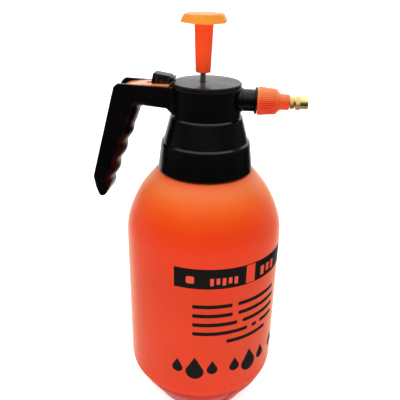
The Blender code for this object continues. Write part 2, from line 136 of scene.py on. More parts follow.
def plastic(name, base, tint, rough=(0.25, 0.34), ior=1.5, cloud=35.0, grain=2600.0,
            grain_depth=0.000006, wave_depth=0.00003, wear=None, wear_amount=0.5,
            scratch=0.25, dust=0.0, sss=0.0, painted_top_light=None, specular=0.5, sss_radius=None,
            painted_light_bands=None, sheen=0.0, sheen_tint=(1.0, 0.8, 0.6)):
    """Moulded plastic: clouded colour, flow marks, fine grain, small scratches, rubbed edges; optional painted
    highlight and painted shade in bands along the height, and an optional painted lighter top.
    """
    m, nt, b = new_material(name)
    tc = node(nt, "ShaderNodeTexCoord").outputs["Object"]
    clouds = noise(nt, tc, cloud, 4.0, 0.55)
    colour = mix_colour(nt, ranged(nt, clouds, 0.35, 0.65, 0.0, 1.0), base, tint)
    # Colour bands along the height: painted shade low down and a painted highlight higher up, not the plastic's own
    # colour.
    if painted_light_bands:
        sep = node(nt, "ShaderNodeSeparateXYZ")
        nt.links.new(tc, sep.inputs[0])
        z0, z1 = painted_light_bands[0][0], painted_light_bands[-1][0]
        drift = math_node(nt, "MULTIPLY", math_node(nt, "SUBTRACT", clouds, 0.5), 0.005)
        ramp = node(nt, "ShaderNodeValToRGB")
        level = math_node(nt, "ADD", sep.outputs[2], drift)
        nt.links.new(ranged(nt, level, z0, z1, 0.0, 1.0), ramp.inputs[0])
        cr = ramp.color_ramp
        cr.interpolation = "LINEAR"
        cr.elements[0].color = tuple(painted_light_bands[0][1]) + (1,)
        cr.elements[1].color = tuple(painted_light_bands[-1][1]) + (1,)
        for z, c in painted_light_bands[1:-1]:
            cr.elements.new((z - z0) / (z1 - z0)).color = tuple(c) + (1,)
        shift = ranged(nt, clouds, 0.3, 0.7, 0.94, 1.03)
        colour = mix_colour(nt, 1.0, ramp.outputs[0], shift, "MULTIPLY")
    # Lighter, yellower colour towards the top: painted top light, not a second colour of the plastic.
    if painted_top_light:
        axis, z0, z1, other, other_tint = painted_top_light
        sep = node(nt, "ShaderNodeSeparateXYZ")
        nt.links.new(tc, sep.inputs[0])
        top_lit_colour = mix_colour(nt, ranged(nt, clouds, 0.35, 0.65, 0.0, 1.0), other, other_tint)
        colour = mix_colour(nt, ranged(nt, sep.outputs[axis], z0, z1, 0.0, 1.0), colour, top_lit_colour)
    fine = noise(nt, tc, grain, 2.0, 0.5)
    flow = noise(nt, tc, 90.0, 2.0, 0.5, stretch=(1.0, 1.0, 0.25), distortion=0.4)
    lines = noise(nt, tc, 700.0, 2.0, 0.6, stretch=(1.0, 1.0, 0.03), distortion=0.2)
    marks = ranged(nt, lines, 0.66, 0.72, 0.0, 1.0)
    smudge = noise(nt, tc, 55.0, 5.0, 0.62, distortion=0.6)
    r = ranged(nt, smudge, 0.35, 0.65, rough[0], rough[1])
    r = math_node(nt, "ADD", r, math_node(nt, "MULTIPLY", marks, scratch * 0.25), clamp=True)
    if wear:
        geo = node(nt, "ShaderNodeNewGeometry")
        edge = ranged(nt, geo.outputs["Pointiness"], 0.53, 0.60, 0.0, 1.0)
        patchy = ranged(nt, noise(nt, tc, 260.0, 4.0, 0.6), 0.42, 0.62, 0.0, 1.0)
        fac = math_node(nt, "MULTIPLY", math_node(nt, "MULTIPLY", edge, patchy), wear_amount)
        colour = mix_colour(nt, fac, colour, wear)
        r = math_node(nt, "ADD", r, math_node(nt, "MULTIPLY", fac, 0.15), clamp=True)
    if dust:
        geo2 = node(nt, "ShaderNodeNewGeometry")
        sep2 = node(nt, "ShaderNodeSeparateXYZ")
        nt.links.new(geo2.outputs["Normal"], sep2.inputs[0])
        topness = ranged(nt, sep2.outputs[2], 0.55, 0.95, 0.0, 1.0)
        specks = ranged(nt, noise(nt, tc, 900.0, 3.0, 0.7), 0.45, 0.75, 0.35, 1.0)
        colour = mix_colour(nt, math_node(nt, "MULTIPLY", math_node(nt, "MULTIPLY", topness, specks), dust),
                            colour, (0.42, 0.39, 0.37))
    nt.links.new(colour, b.inputs["Base Color"])
    nt.links.new(r, b.inputs["Roughness"])
    b.inputs["IOR"].default_value = ior
    b.inputs["Specular IOR Level"].default_value = specular
    if sheen:
        low = node(nt, "ShaderNodeSeparateXYZ")
        nt.links.new(tc, low.inputs[0])
        nt.links.new(ranged(nt, low.outputs[2], 0.028, 0.050, 0.0, sheen),
                     b.inputs["Sheen Weight"])
        b.inputs["Sheen Roughness"].default_value = 0.35
        b.inputs["Sheen Tint"].default_value = tuple(sheen_tint) + (1.0,)
    if sss:
        b.inputs["Subsurface Weight"].default_value = sss
        b.inputs["Subsurface Radius"].default_value = sss_radius or (1.0, 0.25, 0.08)
        b.inputs["Subsurface Scale"].default_value = 0.004
    nt.links.new(bump_chain(nt, [(flow, wave_depth, 0.6), (fine, grain_depth, 0.6),
                                 (marks, 0.000004, scratch)]), b.inputs["Normal"])
    return m


def metal(name, base, dark, rough=(0.18, 0.34), turning=None, tarnish=0.5, depth=0.000008):
    """Machined metal: turning marks along an axis, tarnish in patches, polished edges."""
    m, nt, b = new_material(name)
    tc = node(nt, "ShaderNodeTexCoord").outputs["Object"]
    stain = noise(nt, tc, 230.0, 5.0, 0.65, distortion=0.8)
    fac = math_node(nt, "MULTIPLY", ranged(nt, stain, 0.42, 0.68, 0.0, 1.0), tarnish)
    colour = mix_colour(nt, fac, base, dark)
    geo = node(nt, "ShaderNodeNewGeometry")
    edge = ranged(nt, geo.outputs["Pointiness"], 0.52, 0.62, 0.0, 1.0)
    colour = mix_colour(nt, math_node(nt, "MULTIPLY", edge, 0.45), colour,
                        tuple(min(1.0, c * 1.25) for c in base))
    if turning == "x":
        stretch = (1.0, 0.02, 0.02)
    elif turning == "z":
        stretch = (0.02, 0.02, 1.0)
    elif turning == "length":
        stretch = (1.0, 1.0, 0.02)
    else:
        stretch = (1.0, 1.0, 1.0)
    grooves = noise(nt, tc, 5200.0, 2.0, 0.5, stretch=stretch)
    r = math_node(nt, "ADD", ranged(nt, stain, 0.35, 0.65, rough[0], rough[1]),
                  ranged(nt, grooves, 0.3, 0.7, -0.03, 0.06), clamp=True)
    nt.links.new(colour, b.inputs["Base Color"])
    nt.links.new(r, b.inputs["Roughness"])
    b.inputs["Metallic"].default_value = 1.0
    nt.links.new(bump_chain(nt, [(grooves, depth, 0.7)]), b.inputs["Normal"])
    return m


def rubber(name, base=(0.018, 0.018, 0.019)):
    m, nt, b = new_material(name)
    tc = node(nt, "ShaderNodeTexCoord").outputs["Object"]
    bloom = noise(nt, tc, 300.0, 4.0, 0.6)
    colour = mix_colour(nt, ranged(nt, bloom, 0.4, 0.7, 0.0, 1.0), base,
                        tuple(c * 2.4 for c in base))
    nt.links.new(colour, b.inputs["Base Color"])
    nt.links.new(ranged(nt, bloom, 0.3, 0.7, 0.55, 0.8), b.inputs["Roughness"])
    nt.links.new(bump_chain(nt, [(noise(nt, tc, 3500.0, 3.0, 0.6), 0.00001, 0.6)]),
                 b.inputs["Normal"])
    return m


def ink(name, base, tint):
    """Screen print: slightly uneven film with tiny pinholes in the gloss."""
    m, nt, b = new_material(name)
    tc = node(nt, "ShaderNodeTexCoord").outputs["Object"]
    film = noise(nt, tc, 600.0, 4.0, 0.6)
    weave = noise(nt, tc, 3800.0, 2.0, 0.5)
    nt.links.new(mix_colour(nt, ranged(nt, film, 0.4, 0.65, 0.0, 1.0), base, tint),
                 b.inputs["Base Color"])
    nt.links.new(ranged(nt, film, 0.35, 0.65, 0.36, 0.48), b.inputs["Roughness"])
    nt.links.new(bump_chain(nt, [(film, 0.00001, 0.4), (weave, 0.000004, 0.5)]),
                 b.inputs["Normal"])
    return m


# Height bands paint shade on the foot below the crease and a painted highlight on the shoulder under the head.
BOTTLE_MAT = plastic("bottle_orange", (0.75, 0.046, 0.0040), (0.73, 0.040, 0.0034),
                     rough=(0.32, 0.40), cloud=22.0, grain=1800.0, grain_depth=0.000008,
                     wave_depth=0.00010, scratch=0.30, specular=0.20,
                     wear=(0.84, 0.16, 0.05), wear_amount=0.3, sheen=0.85,
                     sheen_tint=(1.0, 0.66, 0.42),
                     painted_light_bands=[(0.000, (0.50, 0.008, 0.0006)), (0.029, (0.55, 0.012, 0.0008)),
                            (0.034, (0.74, 0.036, 0.0028)),
                            (0.094, (0.70, 0.038, 0.0040)), (0.131, (0.70, 0.034, 0.0012)),
                            (0.165, (0.77, 0.035, 0.0008)), (0.174, (0.76, 0.044, 0.0008)),
                            (0.183, (0.80, 0.070, 0.0012)), (0.191, (0.84, 0.120, 0.010)),
                            (0.1955, (0.85, 0.165, 0.032)), (0.199, (0.85, 0.175, 0.045)),
                            (0.203, (0.84, 0.120, 0.025))])
SHELL_MAT = plastic("shell_black", (0.0011, 0.0010, 0.0009), (0.0019, 0.0017, 0.0016),
                    rough=(0.13, 0.20), cloud=60.0, wear=(0.030, 0.027, 0.025), wear_amount=0.3,
                    specular=0.33)
COVER_MAT = plastic("cover_black", (0.0050, 0.0045, 0.0045), (0.0085, 0.0075, 0.0075),
                    rough=(0.20, 0.28), cloud=90.0, grain=3200.0, grain_depth=0.000007,
                    wear=(0.06, 0.055, 0.055), wear_amount=0.5, dust=0.10, specular=0.12)
GRIP_MAT = plastic("grip_black", (0.0011, 0.0009, 0.0008), (0.0021, 0.0016, 0.0014),
                   rough=(0.20, 0.28), cloud=45.0, wear=(0.030, 0.024, 0.022), wear_amount=0.35,
                   specular=0.20, scratch=0.10)
LOCK_MAT = plastic("lock_black", (0.0014, 0.0011, 0.0009), (0.0026, 0.0020, 0.0017), specular=0.28,
                   rough=(0.28, 0.38), cloud=150.0, grain=3200.0, grain_depth=0.00001,
                   wear=(0.07, 0.065, 0.06), wear_amount=0.6)
LEVER_MAT = plastic("lever_orange", (0.89, 0.25, 0.066), (0.92, 0.30, 0.092),
                    rough=(0.13, 0.22), cloud=60.0, wear=(0.95, 0.35, 0.15), wear_amount=0.4)
# The cap is painted lighter and yellower than the stem: painted top light on the cap, painted shade on the stem.
KNOB_MAT = plastic("knob_orange", (0.94, 0.058, 0.0012), (0.92, 0.070, 0.0016),
                   rough=(0.26, 0.36), cloud=70.0, wear=(0.97, 0.50, 0.20), wear_amount=0.35,
                   painted_top_light=(2, up(38.6) * MM, up(40.6) * MM, (0.82, 0.265, 0.020),
                             (0.84, 0.295, 0.026)), specular=0.20)
# The top of the nut is painted lighter and yellower: a painted highlight from the light above.
NUT_MAT = plastic("nut_orange", (0.72, 0.044, 0.005), (0.74, 0.056, 0.008), specular=0.42,
                  rough=(0.22, 0.32), cloud=150.0, wear=(0.97, 0.34, 0.15), wear_amount=0.4,
                  painted_top_light=(2, up(-11.0) * MM, up(-2.5) * MM, (0.92, 0.290, 0.078),
                            (0.94, 0.320, 0.095)))
BRASS_MAT = metal("brass_turned", (0.98, 0.71, 0.29), (0.58, 0.37, 0.12), turning="x",
                  rough=(0.16, 0.30), tarnish=0.30)
STEEL_MAT = metal("steel_drawn", (0.60, 0.53, 0.48), (0.28, 0.25, 0.22), turning="length",
                  rough=(0.10, 0.20), tarnish=0.35)
ZINC_MAT = metal("steel_plated", (0.66, 0.66, 0.64), (0.42, 0.40, 0.34), turning="z",
                 rough=(0.26, 0.40), tarnish=0.4)
NATURAL_MAT = plastic("natural_plastic", (0.74, 0.72, 0.64), (0.80, 0.78, 0.71),
                      rough=(0.34, 0.46), cloud=80.0, wave_depth=0.00006, sss=0.25,
                      sss_radius=(1.0, 0.9, 0.7))
WHITE_MAT = plastic("white_plastic", (0.82, 0.81, 0.77), (0.86, 0.85, 0.82),
                    rough=(0.32, 0.42), cloud=120.0, sss=0.15, sss_radius=(1.0, 0.9, 0.8))
RUBBER_MAT = rubber("seal_rubber")
INK_MAT = ink("print_black", (0.0035, 0.0026, 0.0020), (0.0060, 0.0045, 0.0038))
WINDOW_MAT = ink("print_gap_orange", (0.75, 0.062, 0.014), (0.72, 0.052, 0.010))


# ================================================================ geometry
def corner(points, radii, steps=5, closed=False):
    """Round the corners of a 2-D path. radii: {index: radius}."""
    out = []
    n = len(points)
    for i, p in enumerate(points):
        r = radii.get(i, 0.0)
        if r <= 0 or (not closed and i in (0, n - 1)):
            out.append(tuple(p))
            continue
        a, b, c = Vector(points[i - 1]), Vector(p), Vector(points[(i + 1) % n])
        u, v = (a - b), (c - b)
        lu, lv = u.length, v.length
        u.normalize()
        v.normalize()
        cosang = max(-1.0, min(1.0, u.dot(v)))
        half = math.acos(cosang) / 2
        if half > math.pi / 2 - 0.02:
            out.append(tuple(p))
            continue
        t = min(r / math.tan(half), lu * 0.48, lv * 0.48)
        rr = t * math.tan(half)
        bis = (u + v).normalized()
        centre = b + bis * (rr / math.sin(half))
        p0, p1 = b + u * t, b + v * t
        a0 = math.atan2(p0.y - centre.y, p0.x - centre.x)
        a1 = math.atan2(p1.y - centre.y, p1.x - centre.x)
        d = (a1 - a0 + math.pi) % (2 * math.pi) - math.pi
        for k in range(steps + 1):
            ang = a0 + d * k / steps
            out.append((centre.x + rr * math.cos(ang), centre.y + rr * math.sin(ang)))
    return out


def profile(rows, steps=5):
    """rows: (radius, height[, corner radius]) for a closed section."""
    pts = [(r[0], r[1]) for r in rows]
    radii = {i: r[2] for i, r in enumerate(rows) if len(r) > 2}
    return corner(pts, radii, steps, closed=True)


def catmull(points, sub):
    """Smooth curve through the points."""
    out = []
    n = len(points)
    P = [Vector(p) for p in points]
    for i in range(n - 1):
        p0 = P[i - 1] if i else P[0] * 2 - P[1]
        p1, p2 = P[i], P[i + 1]
        p3 = P[i + 2] if i + 2 < n else P[-1] * 2 - P[-2]
        t0 = 0.0
        t1 = t0 + max(1e-6, (p1 - p0).length) ** 0.5
        t2 = t1 + max(1e-6, (p2 - p1).length) ** 0.5
        t3 = t2 + max(1e-6, (p3 - p2).length) ** 0.5
        steps = max(1, min(sub, int((p2 - p1).length / 0.8) + 1))
        for k in range(steps):
            t = t1 + (t2 - t1) * k / steps
            a1 = p0 * ((t1 - t) / (t1 - t0)) + p1 * ((t - t0) / (t1 - t0))
            a2 = p1 * ((t2 - t) / (t2 - t1)) + p2 * ((t - t1) / (t2 - t1))
            a3 = p2 * ((t3 - t) / (t3 - t2)) + p3 * ((t - t2) / (t3 - t2))
            b1 = a1 * ((t2 - t) / (t2 - t0)) + a2 * ((t - t0) / (t2 - t0))
            b2 = a2 * ((t3 - t) / (t3 - t1)) + a3 * ((t - t1) / (t3 - t1))
            c = b1 * ((t2 - t) / (t2 - t1)) + b2 * ((t - t1) / (t2 - t1))
            out.append((c.x, c.y))
    out.append(tuple(P[-1]))
    return out


def to_object(bm, name, mat, angle=35.0):
    bmesh.ops.recalc_face_normals(bm, faces=bm.faces[:])
    me = bpy.data.meshes.new(name)
    bm.transform(Matrix.Scale(MM, 4))
    bm.to_mesh(me)
    bm.free()
    ob = bpy.data.objects.new(name, me)
    bpy.context.scene.collection.objects.link(ob)
    shade(ob, angle)
    if mat:
        me.materials.append(mat)
    return ob


def shade(ob, angle=35.0):
    ob.data.shade_smooth()
    ob.data.set_sharp_from_angle(angle=math.radians(angle))
    return ob


def lathe_bm(rows, seg, axis="z", centre=(0, 0, 0), radius_at=None, phase=0.0, angles=None):
    bm = bmesh.new()
    cx, cy, cz = centre
    if angles is None:
        angles = [2 * math.pi * k / seg + phase for k in range(seg)]
    seg = len(angles)

    def place(r, h, a):
        if axis == "z":
            return (cx + r * math.cos(a), cy + r * math.sin(a), cz + h)
        if axis == "y":
            return (cx + r * math.cos(a), cy + h, cz + r * math.sin(a))
        return (cx + h, cy + r * math.cos(a), cz + r * math.sin(a))

    rings = []
    count = len(rows)
    for i, (r, h) in enumerate(rows):
        if r < 1e-6:
            flat = any(abs(rows[j % count][1] - h) < 1e-6 and rows[j % count][0] > 1e-6
                       for j in (i - 1, i + 1))
            rings.append([] if flat else [bm.verts.new(place(0.0, h, 0.0))])
        else:
            rings.append([bm.verts.new(place(radius_at(r, h, a) if radius_at else r, h, a))
                          for a in angles])
    n = len(rings)
    for i in range(n):
        a, b = rings[i], rings[(i + 1) % n]
        if len(a) < 2 and len(b) < 2:
            continue
        if not a or not b:
            bm.faces.new(a or b)
            continue
        for k in range(seg):
            k2 = (k + 1) % seg
            if len(a) == 1:
                bm.faces.new((a[0], b[k], b[k2]))
            elif len(b) == 1:
                bm.faces.new((a[k], b[0], a[k2]))
            else:
                bm.faces.new((a[k], b[k], b[k2], a[k2]))
    return bm


def lathe(name, rows, seg, mat=None, angle=35.0, **kw):
    return to_object(lathe_bm(rows, seg, **kw), name, mat, angle)


def inset_outline(outline, d):
    """Move each point of a closed outline inwards along its corner's bisector."""
    n = len(outline)
    area = sum(outline[i][0] * outline[(i + 1) % n][1] - outline[(i + 1) % n][0] * outline[i][1]
               for i in range(n))
    sign = 1.0 if area > 0 else -1.0
    out = []
    for i in range(n):
        a, b, c = (Vector(outline[i - 1]), Vector(outline[i]), Vector(outline[(i + 1) % n]))
        e1, e2 = (b - a).normalized(), (c - b).normalized()
        n1, n2 = Vector((-e1.y, e1.x)) * sign, Vector((-e2.y, e2.x)) * sign
        m = n1 + n2
        if m.length < 1e-6:
            m = n1.copy()
        m.normalize()
        k = d / max(0.5, m.dot(n1))
        p = b + m * k
        out.append((p.x, p.y))
    return out


def rounded_prism(name, outline, y0, y1, edge, mat=None, steps=4, angle=35.0):
    """Prism in Y whose two faces have rounded rims."""
    bm = bmesh.new()
    layers = []
    seq = []
    for k in range(steps + 1):
        a = math.pi / 2 * k / steps
        seq.append((y0 + edge * (1 - math.sin(a)), edge * (1 - math.cos(a))))
    seq = [(y0 + edge * (1 - math.sin(math.pi / 2 * k / steps)),
            edge * (1 - math.cos(math.pi / 2 * k / steps))) for k in range(steps, -1, -1)]
    seq = [(y, ins) for y, ins in seq] + [(y0 + y1 - y, ins) for y, ins in reversed(seq)]
    for y, ins in seq:
        pts = inset_outline(outline, ins) if ins > 1e-6 else outline
        layers.append([bm.verts.new((x, y, z)) for x, z in pts])
    n = len(outline)
    bm.faces.new(layers[0])
    bm.faces.new(list(reversed(layers[-1])))
    for A, B in zip(layers, layers[1:]):
        for i in range(n):
            j = (i + 1) % n
            bm.faces.new((A[i], B[i], B[j], A[j]))
    return to_object(bm, name, mat, angle)


def box_bm(x0, x1, y0, y1, z0, z1):
    bm = bmesh.new()
    v = [bm.verts.new((x, y, z)) for x in (x0, x1) for y in (y0, y1) for z in (z0, z1)]
    for f in ((0, 1, 3, 2), (4, 6, 7, 5), (0, 4, 5, 1), (2, 3, 7, 6), (0, 2, 6, 4), (1, 5, 7, 3)):
        bm.faces.new([v[i] for i in f])
    return bm


def block(name, x0, x1, y0, y1, z0, z1, mat=None):
    return to_object(box_bm(x0, x1, y0, y1, z0, z1), name, mat)


def evaluated_mesh(ob):
    deps = bpy.context.evaluated_depsgraph_get()
    new = bpy.data.meshes.new_from_object(ob.evaluated_get(deps))
    old = ob.data
    ob.modifiers.clear()
    ob.data = new
    new.name = ob.name
    bpy.data.meshes.remove(old)
    return ob


def boolean(target, other, operation):
    m = target.modifiers.new("cut", "BOOLEAN")
    m.operation = operation
    m.solver = "EXACT"
    m.object = other
    evaluated_mesh(target)
    data = other.data
    bpy.data.objects.remove(other, do_unlink=True)
    bpy.data.meshes.remove(data)
    return target


def minus(target, *others):
    for o in others:
        boolean(target, o, "DIFFERENCE")
    return target


def plus(target, *others):
    for o in others:
        boolean(target, o, "UNION")
    return target


def bevel(ob, width, angle=40.0, segments=2):
    m = ob.modifiers.new("rim", "BEVEL")
    m.width = width * MM
    m.segments = segments
    m.limit_method = "ANGLE"
    m.angle_limit = math.radians(angle)
    m.use_clamp_overlap = True
    m.harden_normals = False
    return evaluated_mesh(ob)


def only(ob, mat):
    ob.data.materials.clear()
    ob.data.materials.append(mat)
    for f in ob.data.polygons:
        f.material_index = 0
    return ob


def done(ob, body, slot, *nodes):
    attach(ob, body)
    if nodes:
        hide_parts(*nodes)
    return ob


SLOTS = {}
for n, o in NODES.items():
    if o.data.materials and o.data.materials[0]:
        SLOTS[n] = o.data.materials[0].name


def slot_of(n):
    return SLOTS.get(n, "").split(".")[0] or n


# ------------------------------------------------------------------ bottle
LUGS = (-30.0, 150.0)
LUG_HALF = 25.0


def smoothstep(t):
    t = max(0.0, min(1.0, t))
    return t * t * (3 - 2 * t)


def lug_weight(a):
    deg = math.degrees(a)
    w = 0.0
    for c in LUGS:
        d = abs((deg - c + 180.0) % 360.0 - 180.0)
        w = max(w, smoothstep((LUG_HALF + 1.3 - d) / 2.6))
    return w


def seam(a, r):
    """Parting line of the blow mould, on the two sides."""
    s = abs(math.sin(a)) * r
    return 0.12 * math.exp(-(s / 0.35) ** 2) if s < 2.0 else 0.0


def bottle_radius(r, h, a):
    out = r
    if h < 32.3 and r > 39.0:
        t = (32.4 - h) / 32.4
        proud = 1.2 + 0.5 * min(t, 0.9)
        out = r + proud * lug_weight(a) * smoothstep((32.3 - h) / 0.5)
    if 33.0 < h < 202.0 and r > 37.9:
        printed_side = smoothstep((h - 46.0) / 4.0) * smoothstep((158.0 - h) / 4.0)
        clear = 1.0 - (printed_side if math.cos(a) > 0 else 0.0)
        out += (seam(a, r) * clear * smoothstep((h - 33.0) / 4.0) *
                smoothstep((202.0 - h) / 4.0))
    if 205.5 < h < 219.5 and r > 28.9 and r < 30.0:
        turn = (h - 206.2) / 6.0 - (a % (2 * math.pi)) / (2 * math.pi)
        frac = turn - math.floor(turn)
        fade = smoothstep((h - 206.0) / 1.2) * smoothstep((218.6 - h) / 1.2)
        ridge = max(0.0, 1.0 - abs(frac - 0.35) / 0.22)
        out += 1.1 * min(1.0, ridge * 1.35) * fade
    return out


def bottle_angles():
    base = [2 * math.pi * k / 180 for k in range(180)]
    extra = []
    for c in (0.0, math.pi):
        for d in (-0.9, -0.55, -0.3, 0.3, 0.55, 0.9):
            extra.append((c + d / 59.0) % (2 * math.pi))
    for c in LUGS:
        for side in (-1, 1):
            for d in (-1.3, -0.65, 0.65, 1.3):
                extra.append(math.radians(c + side * (LUG_HALF) + d) % (2 * math.pi))
    out = []
    for a in sorted(base + extra):
        if not out or a - out[-1] > math.radians(0.12):
            out.append(a)
    return out


lower = catmull([(41.0, 4.0), (46.8, 13), (53.0, 22.4), (56.4, 29.5), (57.1, 31.7)], 8)
upper = catmull([(58.85, 32.5), (59.5, 35), (59.9, 41), (60, 60), (60, 80), (60, 105), (60, 130),
                 (60, 150), (59.5, 160), (57.8, 168), (53.9, 178), (49.1, 187), (43.2, 195),
                 (37.8, 201.2)], 14)
base_rows = corner([(0, 0), (11, 0), (13.5, 2.6), (28, 2.6), (30.5, 0), (37.8, 0), (39.4, 1.0),
                    (41.0, 4.0)], {1: 1.5, 2: 1.5, 3: 1.5, 4: 1.5, 5: 1.5, 6: 1.2}, 4)
crease = [(57.2, 32.0), (57.7, 32.15), (58.4, 32.25)]
shoulder_end = corner([(37.8, 201.2), (36.0, 202.8), (34.6, 203.4), (30.3, 203.6),
                       (29.5, 204.4), (29.5, 205.2)], {1: 1.5, 2: 1.2, 3: 0.6, 4: 0.5}, 4)
neck_rows = [(29.5, 205.4 + 0.3 * k) for k in range(1, 47)]
mouth = corner([(29.5, 219.6), (29.5, 221.5), (27.2, 221.5), (27.2, 203.0)],
               {1: 0.6, 2: 0.5}, 4)
inner_rows = [(27.2, 203.0), (30.0, 201.9), (34.2, 201.4), (36.3, 200.0)] + \
    catmull([(41.8, 193.6), (47.7, 185.9), (52.4, 177.0), (56.1, 167.3), (58.0, 158.0),
             (58.4, 146), (58.4, 120), (58.4, 90), (58.4, 70), (58.4, 50), (57.6, 35.6),
             (55.2, 31.6), (51.4, 23.2), (45.4, 13.9), (39.4, 4.6), (36.4, 1.8)], 5) + \
    [(31.4, 1.8), (28.9, 4.3), (12.6, 4.3), (10.2, 1.8), (0, 1.8)]
bottle_rows = (base_rows[:-1] + lower + crease + upper[:-1] + shoulder_end + neck_rows[:-1] +
               mouth[:-1] + inner_rows)
clean = [bottle_rows[0]]
for p in bottle_rows[1:]:
    if abs(p[0] - clean[-1][0]) + abs(p[1] - clean[-1][1]) > 0.02:
        clean.append(p)
bottle = to_object(lathe_bm(clean, 0, radius_at=bottle_radius, angles=bottle_angles()),
                   "bottle_shell", BOTTLE_MAT, 50.0)
done(bottle, "bottle", slot_of("bottle"), "bottle")


def wall_radius(z):
    best = 60.0
    for (r0, h0), (r1, h1) in zip(upper, upper[1:]):
        if h0 <= z <= h1 and h1 > h0:
            best = r0 + (r1 - r0) * (z - h0) / (h1 - h0)
    return best


# ----------------------------------------------------- print on the bottle
R_PRINT = 60.0


def arc(deg):
    """Millimetres round the wall for an angle from the front, towards +X."""
    return math.radians(deg) * R_PRINT


def printed(name, shapes, mat, low=-0.03, high=0.05, slope=0.0):
    """shapes: closed outlines in (mm round the wall, height in mm). One closed film each."""
    bm = bmesh.new()
    for shape in shapes:
        part = bmesh.new()
        vs = [part.verts.new((s, low, z)) for s, z in shape]
        f = part.faces.new(vs)
        lo, hi = min(s for s, _ in shape), max(s for s, _ in shape)
        cut = math.floor(lo / 1.5) * 1.5 + 1.5
        while cut < hi - 0.05:
            if cut > lo + 0.05:
                bmesh.ops.bisect_plane(part, geom=part.verts[:] + part.edges[:] + part.faces[:],
                                       plane_co=(cut, 0, 0), plane_no=(1, 0, 0), dist=1e-5)
            cut += 1.5
        zlo, zhi = min(z for _, z in shape), max(z for _, z in shape)
        cut = math.floor(zlo / 4.0) * 4.0 + 4.0
        while cut < zhi - 0.05:
            if cut > zlo + 0.05:
                bmesh.ops.bisect_plane(part, geom=part.verts[:] + part.edges[:] + part.faces[:],
                                       plane_co=(0, 0, cut), plane_no=(0, 0, 1), dist=1e-5)
            cut += 4.0
        ext = bmesh.ops.extrude_face_region(part, geom=part.faces[:])
        for g in ext["geom"]:
            if isinstance(g, bmesh.types.BMVert):
                g.co.y = high
        bmesh.ops.recalc_face_normals(part, faces=part.faces[:])
        me = bpy.data.meshes.new("tmp_print")
        part.to_mesh(me)
        part.free()
        bm.from_mesh(me)
        bpy.data.meshes.remove(me)
    for v in bm.verts:
        s, t, z = v.co
        z2 = z - slope * (s + 12.5)
        a = s / R_PRINT - math.pi / 2
        r = wall_radius(z2) + t
        v.co = (r * math.cos(a), r * math.sin(a), z2)
    return to_object(bm, name, mat, 30.0)


def rect(a0, a1, z0, z1, r=0.0):
    pts = [(arc(a0), z0), (arc(a1), z0), (arc(a1), z1), (arc(a0), z1)]
    return corner(pts, {i: r for i in range(4)}, 4, closed=True) if r else pts


def drop(a, z, w, h):
    """Plain falling drop, point up."""
    pts = []
    c = arc(a)
    rr = w / 2
    for k in range(25):
        t = math.pi * (1.16) * (k / 24 - 0.5) * 1.0
        pts.append((c + rr * math.sin(2 * t / 1.16 * 0.62), z - h / 2 + rr - rr * math.cos(2 * t / 1.16 * 0.62)))
    pts.append((c, z + h / 2))
    return pts


SLOPE = 0.019
film = [rect(-12.2, 39.2, 134.2, 150.5), rect(46.9, 96.0, 134.2, 150.5),
        rect(39.2, 46.9, 134.2, 134.75), rect(39.2, 46.9, 149.95, 150.5)]
lines = [  # rows of plain dashes
    (121.3, [(0.9, 29.5), (34.0, 72.0)]),
    (113.2, [(1.0, 30.0), (34.5, 74.0)]),
    (105.1, [(1.1, 34.0), (38.5, 73.5)]),
    (97.0, [(1.2, 43.0), (47.5, 52.0), (56.0, 73.0)]),
    (88.9, [(26.2, 63.0)])]
for top, spans in lines:
    for a0, a1 in spans:
        film.append(rect(a0, a1, top - 4.1, top - 1.0, 0.9))
for c in (3.3, 46.6, 90.0):
    film.append(drop(c, 61.6, 14.0, 21.0))
    film.append(drop(c - 13.0, 62.5, 8.5, 13.0))
    film.append(drop(c + 13.0, 62.5, 8.5, 13.0))
print_black = printed("print_film", film, INK_MAT, slope=SLOPE)
done(print_black, "bottle", slot_of("bottle"))
gaps = [rect(-3.8, 2.0, 138.4, 144.4, 1.4)]
for k in range(5):
    gaps.append(rect(12.8 + 4.3 * k, 15.4 + 4.3 * k, 138.0 if k % 2 else 137.0, 143.2, 0.5))
for k in range(3):
    gaps.append(rect(52.5 + 6.2 * k, 56.3 + 6.2 * k, 138.0 if k % 2 else 137.0, 144.8, 0.5))
print_gaps = printed("print_marks", gaps, WINDOW_MAT, low=0.055, high=0.085, slope=SLOPE)
done(print_gaps, "bottle", slot_of("bottle"))

# -------------------------------------------------------------------- head
SEG = 144
housing = lathe("housing_shell", [(r, up(h)) for r, h in profile([
    (24.4, -2.8, 0.12), (24.72, -3.1, 0.12), (25.0, -23.6, 0.5), (26.2, -24.5, 0.75),
    (26.7, -26.2, 0.8), (30.9, -41.8, 0.6), (32.35, -42.8, 0.75), (32.85, -44.6, 0.8),
    (35.2, -63.0, 0.5), (34.7, -63.7, 0.3), (33.3, -63.7, 0.3), (32.0, -48.0), (31.6, -44.1),
    (26.0, -44.1), (26.0, -42.4), (28.5, -42.4), (28.4, -41.0), (24.4, -26.2), (24.0, -24.2),
    (0, -24.2), (0, -21.7), (22.8, -21.7), (22.8, -2.8)])], SEG, SHELL_MAT)
spigot = lathe("spigot", [(r, x) for r, x in profile([
    (0, 20.5), (8.6, 20.5), (8.6, 25.2, 0.7), (7.8, 26.4, 0.8), (7.8, 34.3, 0.4),
    (9.2, 34.3, 0.25), (9.5, 34.8, 0.2), (9.5, 35.6, 0.2), (9.2, 36.0, 0.2), (7.0, 36.0),
    (7.0, 46.0, 0.3), (6.5, 46.5, 0.2), (0, 46.5)])], 72, SHELL_MAT, axis="x",
    centre=(0, 0, up(SPIGOT_Z)))
minus(spigot, lathe("inner_side", [(0, up(-23)), (23.8, up(-23)), (23.8, up(-1)), (0, up(-1))], 96,
                    phase=0.03))
plus(housing, spigot)
